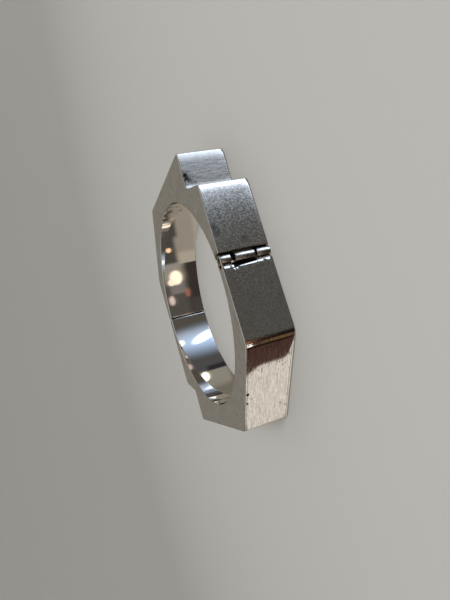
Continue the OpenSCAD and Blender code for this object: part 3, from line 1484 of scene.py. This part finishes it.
@dataclass(frozen=True)
class Effects:
    """The shader groups that the finishes share."""

    grain: Tree = field(default_factory=brushed_grain)
    scratches: Tree = field(default_factory=fine_scratches)
    wear: Tree = field(default_factory=edge_wear)
    tarnish: Tree = field(default_factory=tarnish_film)
    seam: Tree = field(default_factory=solder_seam)
    spot: Tree = field(default_factory=worn_spot)


@dataclass(frozen=True)
class Mark:
    """A pit, nick or stain at one place of the part, in millimetres."""

    centre: Point
    radius: float
    ragged: float = 0.5
    strength: float = 1.0


class Run(Enum):
    """Directions that brush lines run in on a face, as the stretch of its pattern."""

    ALONG = (1.0, 0.1, 1.0)
    ACROSS = (1.0, 1.0, 0.1)
    NONE = (1.0, 1.0, 1.0)


@dataclass(frozen=True)
class SilverFinish:
    """One finish of the silver, with its own values for the shared effects.

    Attributes:
        name: Name of the material.
        roughness: Roughness of the clean metal.
        turn: Direction that the face looks in, in degrees.
        run: Direction of the brush lines on it.
        grain: Strength of the brush lines.
        fineness: How fine they are.
        sparkle: Share of specks in them.
        scratches: Strength of the scratches.
        tarnish: Amount of the warm film.
        ripple: Height of the slow waves left by hand finishing.
        etch: How much the brush lines darken the metal.
        scuff: How much the scratches darken the metal.
        dirt: How dark the hinge's crevices are painted, as tarnish and painted shade.
        seam: How dark the solder seams are.
        colour: Colour of the clean metal.
        marks: Local marks.
    """

    name: str
    roughness: float = 0.2
    turn: float = 0.0
    run: Run = Run.ALONG
    grain: float = 0.3
    fineness: float = 9000.0
    sparkle: float = 0.4
    scratches: float = 0.3
    tarnish: float = 0.12
    ripple: float = 0.3
    etch: float = 0.0
    scuff: float = 0.0
    dirt: float = 0.0
    seam: float = 0.0
    colour: Colour = SILVER
    marks: tuple[Mark, ...] = ()

    def build(self, effects: Effects) -> Material:
        """Builds the material.

        Args:
            effects: The shared shader groups.

        Returns:
            The material.
        """
        material = bpy.data.materials.new(self.name)
        material.use_nodes = True
        material.node_tree.nodes.clear()
        g = Graph(material.node_tree)
        place = g.add("ShaderNodeTexCoord").outputs["Object"]
        turn = (0.0, 0.0, math.radians(-self.turn))
        faced = g.add("ShaderNodeMapping", {"Vector": place, "Rotation": turn}).outputs[0]
        worn = g.add("ShaderNodeAttribute", attribute_name="wear").outputs["Fac"]
        crevice = g.add("ShaderNodeAttribute", attribute_name="crevice").outputs["Fac"]
        rubbed = self.group(g, effects.wear, {"Place": place, "Wear": worn}).outputs[0]
        feeds = {"Place": faced, "Run": self.run.value, "Fineness": self.fineness}
        grain = self.group(g, effects.grain, {**feeds, "Sparkle": self.sparkle})
        lines = self.group(g, effects.scratches, {"Place": faced}).outputs[0]
        # the crevice mask adds tarnish and painted shade to the film in the hinge
        feeds = {"Place": place, "Amount": self.tarnish, "Crevice": crevice}
        clean = g.minus(1.0, rubbed)
        film = g.times(self.group(g, effects.tarnish, feeds).outputs[0], clean)
        marked = self.marked(g, effects, place)
        streaks = grain.outputs["Streaks"]
        colour = g.blend(film, self.colour, TARNISH_AND_CREVICE_SHADE)
        colour = g.blend(g.times(g.minus(1.0, streaks), self.etch), colour, GROOVE)
        colour = g.blend(g.times(lines, self.scuff), colour, GROOVE)
        # painted shade with some tarnish: the hinge's crevices are darkened towards near-black
        colour = g.blend(g.times(crevice, self.dirt), colour, DIRT_AND_PAINTED_SHADE)
        colour = g.blend(marked, colour, DIRT_AND_PAINTED_SHADE)
        rough = g.plus(self.roughness, g.times(film, FILM_ROUGH))
        rough = g.plus(rough, g.times(g.minus(streaks, 0.5), self.roughness * STREAK_ROUGH))
        rough = g.plus(rough, g.times(lines, self.scuff * SCUFF_ROUGH))
        rough = g.times(rough, g.minus(1.0, g.times(rubbed, RUBBED_SMOOTH)))
        pitted = g.span(marked, 0.45, 1.0)
        rough = g.math("MAXIMUM", rough, g.times(pitted, PIT_ROUGH))
        relief = g.times(grain.outputs["Height"], g.times(clean, self.grain * GRAIN_HIGH))
        relief = g.minus(relief, g.times(lines, self.scratches * SCRATCH_DEEP))
        wave = g.times(noise(g, place, 130.0, 1.0), self.ripple * RIPPLE_HIGH)
        relief = g.minus(g.plus(relief, wave), g.times(pitted, PIT_DEEP))
        bump = g.add("ShaderNodeBump", {"Height": relief, "Strength": 1.0, "Distance": 1.0})
        feeds = {"Base Color": colour, "Roughness": rough, "Normal": bump.outputs[0]}
        shader = g.add("ShaderNodeBsdfPrincipled", {**feeds, "Metallic": 1.0})
        g.add("ShaderNodeOutputMaterial", {"Surface": shader.outputs[0]})
        return material

    def group(self, g: Graph, tree: Tree, feeds: dict) -> bpy.types.Node:
        """Places a shared effect with this finish's values.

        Args:
            g: Graph to add to.
            tree: The effect's group.
            feeds: What goes into its inputs, by name.

        Returns:
            The group's node.
        """
        node = g.add("ShaderNodeGroup", node_tree=tree)
        for name, value in feeds.items():
            g.feed(node.inputs[name], value)
        return node

    def marked(self, g: Graph, effects: Effects, place: Socket) -> object:
        """How strongly each place is marked by a seam, a pit or a stain.

        Args:
            g: Graph to add to.
            effects: The shared shader groups.
            place: Socket of the place in the part.

        Returns:
            Share from 0 to 1, as a socket, or 0 where nothing marks the face.
        """
        found: object = 0.0
        if self.seam > 0:
            lines = self.group(g, effects.seam, {"Place": place}).outputs[0]
            found = g.times(lines, self.seam)
        for mark in self.marks:
            centre = tuple(v * MM for v in mark.centre)
            feeds = {"Place": place, "Centre": centre, "Radius": mark.radius * MM}
            spot = self.group(g, effects.spot, {**feeds, "Ragged": mark.ragged}).outputs[0]
            found = g.math("MAXIMUM", found, g.times(spot, mark.strength))
        return found


# near-black recess colour: tarnish in the hollows and painted shade
RECESS_TARNISH_AND_SHADE: Colour = (0.03, 0.028, 0.026, 1.0)
# near-black pin colour: tarnish and painted shade where the pin shows between the knuckles
PIN_TARNISH_AND_SHADE: Colour = (0.025, 0.023, 0.021, 1.0)
FINISHES = {
    Skin.FACET: SilverFinish("Satin Slope", roughness=0.24, turn=131, grain=0.7, seam=0.3, etch=0.1),
    Skin.STEP: SilverFinish(
        "Satin Step", roughness=0.28, turn=40, run=Run.ACROSS, grain=0.8, fineness=6500, sparkle=0.2,
        tarnish=0.08, ripple=0.1, etch=0.3, scuff=0.1, seam=0.2,
        marks=(
            Mark((-1.3, 35.9, 11.3), 0.8, 1.2, 1.0), Mark((-0.8, 35.3, 11.15), 0.95, 1.2, 0.95),
            Mark((-0.4, 34.85, 10.4), 0.7, 1.5, 0.75), Mark((0.0, 34.35, 9.3), 0.6, 1.5, 0.5),
            Mark((-0.9, 35.4, 10.6), 2.1, 1.8, 0.3),
        ),
    ),
    Skin.HINGE_FACE: SilverFinish(
        "Satin Hinge Face", roughness=0.13, turn=44, run=Run.NONE, grain=2.2, fineness=4700,
        sparkle=0.6, scratches=0.1, tarnish=0.05, ripple=0.12, etch=0.4,
        marks=(
            Mark((15.7, 29.8, 11.45), 1.3, 1.6, 0.42), Mark((16.7, 28.8, 11.0), 1.1, 1.6, 0.38),
            Mark((18.4, 27.0, 5.2), 0.9, 1.5, 0.3),
        ),
    ),
    Skin.FRONT: SilverFinish(
        "Worn Front Mirror", roughness=0.025, grain=0.02, fineness=6800, sparkle=0.5, scratches=0.05,
        tarnish=0.03, ripple=0.01, etch=0.36, scuff=0.6, seam=0.6,
        marks=(
            Mark((33.93, -3.34, 11.3), 0.55, 0.5, 1.0), Mark((33.93, -6.15, 11.34), 0.4, 0.5, 1.0),
            Mark((33.93, -4.3, 11.05), 0.24, 0.4, 0.42), Mark((33.93, -4.85, 10.7), 0.24, 0.4, 0.42),
            Mark((33.93, -5.15, 10.2), 0.24, 0.4, 0.4), Mark((33.93, -4.95, 9.6), 0.24, 0.4, 0.3),
            Mark((33.93, -9.4, 2.6), 0.35, 1.2, 0.5), Mark((33.93, -10.6, 1.2), 0.3, 1.2, 0.5),
        ),
    ),
    Skin.SIDE: SilverFinish(
        "Brushed Side", roughness=0.32, turn=44, fineness=5000, sparkle=0.1, tarnish=0.0, etch=0.22,
    ),
    Skin.LINING: SilverFinish(
        "Polished Lining", roughness=0.03, grain=0.02, scratches=0.04, tarnish=0.05, ripple=0.05,
        marks=(Mark((-19.6, 19.7, 7.2), 0.8, 1.6, 0.42), Mark((-17.0, 22.0, 9.0), 0.9, 1.6, 0.4)),
    ),
    Skin.KNUCKLE: SilverFinish(
        "Polished Knuckle", roughness=0.25, run=Run.NONE, grain=0.6, sparkle=0.8, tarnish=0.0,
        ripple=0.1,
    ),
    # recess faces: near-black tarnish and painted shade in the hinge's grooves and slots
    Skin.RECESS: SilverFinish(
        "Unpolished Recess", roughness=0.7, grain=0.5, tarnish=0.0, dirt=0.9, colour=RECESS_TARNISH_AND_SHADE,
    ),
}
# pin: near-black tarnish and painted shade in the gaps between the knuckles
PIN = SilverFinish("Blackened Pin", roughness=0.6, grain=0.2, tarnish=0.0, colour=PIN_TARNISH_AND_SHADE)
TONGUE = SilverFinish("Filed Tongue", roughness=0.28, turn=44, grain=0.8, tarnish=0.08)


@dataclass(frozen=True)
class Panel:
    """A soft light panel far from the part, seen only in the metal. Angles are in degrees.

    Attributes:
        azimuth: Direction of its middle round the part.
        height: Height of its middle over the horizon.
        half_wide: Half of its width.
        half_high: Half of its height.
        soft: Softness of its upright edges.
        colour: Its brightness in red, green and blue.
        soft_high: Softness of its level edges.
        oval: Whether it is an oval lamp rather than a rectangle.
        lean: How far its upright edges move round for each degree up.
    """

    azimuth: float
    height: float
    half_wide: float
    half_high: float
    soft: float
    colour: Point
    soft_high: float = 0.4
    oval: bool = False
    lean: float = 0.0

    def mask(self, g: Graph, turn: Socket, height: Socket) -> Socket:
        """How much of the panel is seen in a direction.

        Args:
            g: Graph to add to.
            turn: Azimuth of the direction.
            height: Height of the direction.

        Returns:
            Share from 0 to 1.
        """
        above = g.minus(height, self.height)
        middle = g.plus(self.azimuth, g.times(above, self.lean))
        off = g.math("ABSOLUTE", g.math("WRAP", g.minus(turn, middle), 180.0, -180.0))
        rise = g.math("ABSOLUTE", above)
        if self.oval:
            pairs = ((off, self.half_wide), (rise, self.half_high))
            shares = [g.math("POWER", g.math("DIVIDE", *pair), 2.0) for pair in pairs]
            return g.span(g.math("SQRT", g.plus(*shares)), 1.0, 1.0 - self.soft)
        wide = g.span(off, self.half_wide + self.soft, self.half_wide - self.soft)
        high = g.span(rise, self.half_high + self.soft_high, self.half_high - self.soft_high)
        return g.times(wide, high)


@dataclass
class Studio:
    """Pale seamless floor, soft light, the panels that the silver mirrors, and the camera."""

    floor_r: float = 0.45
    rim_r: float = 1.1
    rim_h: float = 0.9
    rim_steps: tuple[float, float, float] = (0.1, math.pi / 2, 0.12)
    floor_parts: int = 96
    floor_colour: Colour = (0.56, 0.55, 0.52, 1.0)
    floor_rough: float = 0.9
    lamp_size: float = 0.4
    lamp_watts: float = 2.5
    lamp_place: Point = (0.25, 0.33, 0.6)
    fill: Point = (0.93, 0.92, 0.9)
    fill_strength: float = 0.6
    around: Point = (0.3, 0.265, 0.22)
    eye: Point = (98.3, 69.57, 44.5)
    look: Point = (-0.7666, -0.5495, -0.3321)
    up: Point = (-0.5010, 0.8354, -0.2259)
    lens: float = 27.06
    sensor: float = 36.0
    clip: Pair = (0.005, 20.0)
    panels: tuple[Panel, ...] = (
        # the room round the part, at the height that the lining mirrors
        Panel(180, -24, 52, 6.4, 8, (0.1, 0.07, 0.058), 1),
        Panel(-32, -15.5, 9, 2.2, 4, (0.41, 0.36, 0.29)),
        Panel(-60, -10.5, 34, 4.2, 4, (0.066, 0.06, 0.052), 0.35),
        Panel(-82, -10.5, 18, 4.7, 5, (0.066, 0.06, 0.052), 0.35),
        Panel(31, -10, 37, 50, 7, (0.085, 0.077, 0.066), 7),
        Panel(-24, -13.8, 4, 1.0, 2.5, (0.3, 0.27, 0.24)),
        Panel(4, -14.1, 7, 1.1, 2, (0.2, 0.18, 0.17), 0.3),
        Panel(10, -18.4, 36, 3.3, 0.8, (0.036, 0.03, 0.025), 0.6),
        Panel(34, -18.4, 13, 3.1, 4, (0.06, 0.053, 0.048), 0.3),
        # window, its glow and the room beside it
        Panel(110, -14, 22, 24, 5, (0.075, 0.073, 0.073), 6),
        Panel(83, -30, 20, 13, 8, (0.2, 0.23, 0.27), 0.8),
        Panel(84.5, -30, 11, 13, 4, (0.47, 0.53, 0.6), 0.8),
        Panel(84, -16, 29, 10, 1, (0.53, 0.71, 1.0), oval=True),
        Panel(80.5, -15.7, 8.5, 2.1, 0.6, (1.9, 2.2, 2.65), oval=True, lean=3.0),
        Panel(79, -30, 11.2, 13, 3, (1.95, 2.25, 2.7), 0.6),
        Panel(82, -12.7, 6, 0.6, 0.5, (1.3, 1.4, 1.45), oval=True),
        Panel(93, -25, 19, 7.2, 5, (1.45, 1.65, 1.95), 0.6),
        Panel(127.5, -20, 3.8, 5, 2, (0.026, 0.025, 0.028)),
        Panel(145, -12, 13.5, 5.6, 1, (0.27, 0.25, 0.21)),
        Panel(176, -12, 17, 5.6, 7, (0.17, 0.15, 0.12)),
        # below, where the front and the hinge faces look
        Panel(-45, -40, 90, 22.6, 0.8, (0.38, 0.34, 0.28), 0.3),
        Panel(-48, -40, 7, 22.5, 3, (0.76, 0.71, 0.63), 0.3),
        Panel(0, -40, 45.35, 21.8, 0.2, (0.075, 0.038, 0.03), 0.3),
        Panel(-43.85, -20.2, 2, 1.4, 0.2, (0.075, 0.038, 0.03), 0.2, lean=-0.42),
        Panel(-32, -40, 3.2, 21.8, 1.5, (0.012, 0.008, 0.006), 0.5),
        Panel(-23.5, -40, 3.2, 17.4, 2, (0.15, 0.09, 0.04), 1.2),
        Panel(9, -40, 26, 21.8, 3, (0.012, 0.01, 0.008), 0.5),
        Panel(1, -40, 1.6, 21.8, 1.2, (0.09, 0.085, 0.075), 0.5),
        Panel(-24, -20.8, 4.5, 0.7, 0.5, (1.6, 1.5, 1.35), oval=True),
        Panel(24, -20.4, 7, 0.6, 0.5, (0.95, 0.38, 0.2), oval=True),
        Panel(50, -40, 18, 21.8, 4, (0.092, 0.089, 0.082), 0.5),
        # small lamps and their images
        Panel(-10, -14, 10.5, 0.95, 0.35, (1.4, 1.15, 0.9), oval=True),
        Panel(-5, -13.35, 5, 0.6, 0.4, (1.2, 1.0, 0.8), oval=True),
        Panel(19, -12.9, 9, 0.45, 0.5, (0.8, 0.64, 0.58), oval=True),
        Panel(12, -15.05, 9, 0.42, 0.6, (0.36, 0.15, 0.1), oval=True),
        Panel(-46.5, -13.8, 4.2, 0.4, 0.4, (1.3, 0.85, 0.5), oval=True),
        Panel(138.5, -14.5, 9, 0.65, 0.4, (2.0, 1.85, 1.5), oval=True),
        # ground, side and ceiling
        Panel(0, -80, 400, 30, 8, (0.09, 0.085, 0.08), 8),
        Panel(-56, -62, 11, 14, 5, (0.55, 0.5, 0.42), 6),
        Panel(215, 20, 60, 24, 12, (0.19, 0.178, 0.15), 8),
        Panel(0, 75, 400, 25, 12, (0.6, 0.6, 0.58), 12),
    )

    def build(self) -> None:
        """Builds the floor, the light and the camera."""
        self.build_floor()
        self.build_world()
        self.build_lamp()
        self.build_camera()
        log.info("studio: %d panels", len(self.panels))

    def build_floor(self) -> None:
        """A flat round floor that curves up into a wall without a seam."""
        bend = [(self.floor_r * f, 0.0) for f in (0.0, 0.25, 0.5, 0.75, 1.0)]
        for t in spread(*self.rim_steps):
            out = self.floor_r + (self.rim_r - self.floor_r) * math.sin(t)
            bend.append((out, self.rim_h * (1 - math.cos(t))))
        count = self.floor_parts
        verts = [(0.0, 0.0, 0.0)]
        for r, z in bend[1:]:
            verts += [(*(r * unit(360 * j / count)), z) for j in range(count)]
        faces = [(0, 1 + j, 1 + (j + 1) % count) for j in range(count)]
        for k in range(len(bend) - 2):
            a, b = 1 + k * count, 1 + (k + 1) * count
            faces += [(a + j, b + j, b + (j + 1) % count, a + (j + 1) % count) for j in range(count)]
        mesh = bpy.data.meshes.new("floor")
        mesh.from_pydata(verts, [], faces)
        mesh.polygons.foreach_set("use_smooth", np.ones(len(faces), bool))
        floor = new_object("floor", mesh)
        material = bpy.data.materials.new("Pale Floor")
        material.use_nodes = True
        shader = material.node_tree.nodes["Principled BSDF"]
        shader.inputs["Base Color"].default_value = self.floor_colour
        shader.inputs["Roughness"].default_value = self.floor_rough
        mesh.materials.append(material)
        floor.visible_glossy = False

    def build_world(self) -> None:
        """Even fill for matt surfaces, and panels in front of grey for the metal."""
        world = bpy.data.worlds.new("studio")
        world.use_nodes = True
        world.node_tree.nodes.clear()
        g = Graph(world.node_tree)
        aim = g.add("ShaderNodeTexCoord").outputs["Generated"]
        axes = g.add("ShaderNodeSeparateXYZ", {"Vector": aim}).outputs
        turn = g.times(g.math("ARCTAN2", axes["Y"], axes["X"]), math.degrees(1))
        height = g.times(g.math("ARCSINE", axes["Z"]), math.degrees(1))
        colour: object = (*self.around, 1.0)
        for panel in self.panels:
            colour = g.blend(panel.mask(g, turn, height), colour, (*panel.colour, 1.0))
        mirror = g.add("ShaderNodeBackground", {"Color": colour, "Strength": 1.0})
        feeds = {"Color": (*self.fill, 1.0), "Strength": self.fill_strength}
        plain = g.add("ShaderNodeBackground", feeds)
        ray = g.add("ShaderNodeLightPath").outputs["Is Glossy Ray"]
        mix = g.add("ShaderNodeMixShader", {0: ray, 1: plain.outputs[0], 2: mirror.outputs[0]})
        g.add("ShaderNodeOutputWorld", {"Surface": mix.outputs[0]})
        bpy.context.scene.world = world

    def build_lamp(self) -> None:
        """A large soft lamp that gives the floor its gentle shadow."""
        lamp = bpy.data.lights.new("lamp", "AREA")
        lamp.shape, lamp.size, lamp.energy = "DISK", self.lamp_size, self.lamp_watts
        holder = bpy.data.objects.new("lamp", lamp)
        bpy.context.scene.collection.objects.link(holder)
        holder.location = self.lamp_place
        holder.rotation_euler = (-holder.location).to_track_quat("-Z", "Y").to_euler()
        holder.visible_glossy = False

    def build_camera(self) -> None:
        """The photograph's camera: its place, its angle, its roll and its lens."""
        data = bpy.data.cameras.new("camera")
        data.sensor_width, data.lens = self.sensor, self.lens
        camera = bpy.data.objects.new("camera", data)
        bpy.context.scene.collection.objects.link(camera)
        look, up = Vector(self.look).normalized(), Vector(self.up)
        right = look.cross(up).normalized()
        up = right.cross(look)
        turn = Matrix((right, up, -look)).transposed()
        camera.matrix_world = Matrix.Translation(Vector(self.eye) * MM) @ turn.to_4x4()
        data.clip_start, data.clip_end = self.clip
        bpy.context.scene.camera = camera


def main() -> None:
    """Builds the studio and the bangle."""
    logging.basicConfig(level=logging.INFO, format="%(message)s")
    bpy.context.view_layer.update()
    effects = Effects()
    finishes = {skin: finish.build(effects) for skin, finish in FINISHES.items()}
    bangle = Bangle(finishes)
    knuckle = knuckle_tree()
    for half in Half:
        bangle.build_half(half, knuckle)
    for node, finish in (("hinge_pin", PIN), ("clasp_tongue", TONGUE)):
        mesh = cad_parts[node].data
        mesh.materials.clear()
        mesh.materials.append(finish.build(effects))
        log.info("%s: %s", node, finish.name)
    Studio().build()
    bpy.context.scene.view_settings.view_transform = "Standard"


if __name__ == "__main__":
    main()
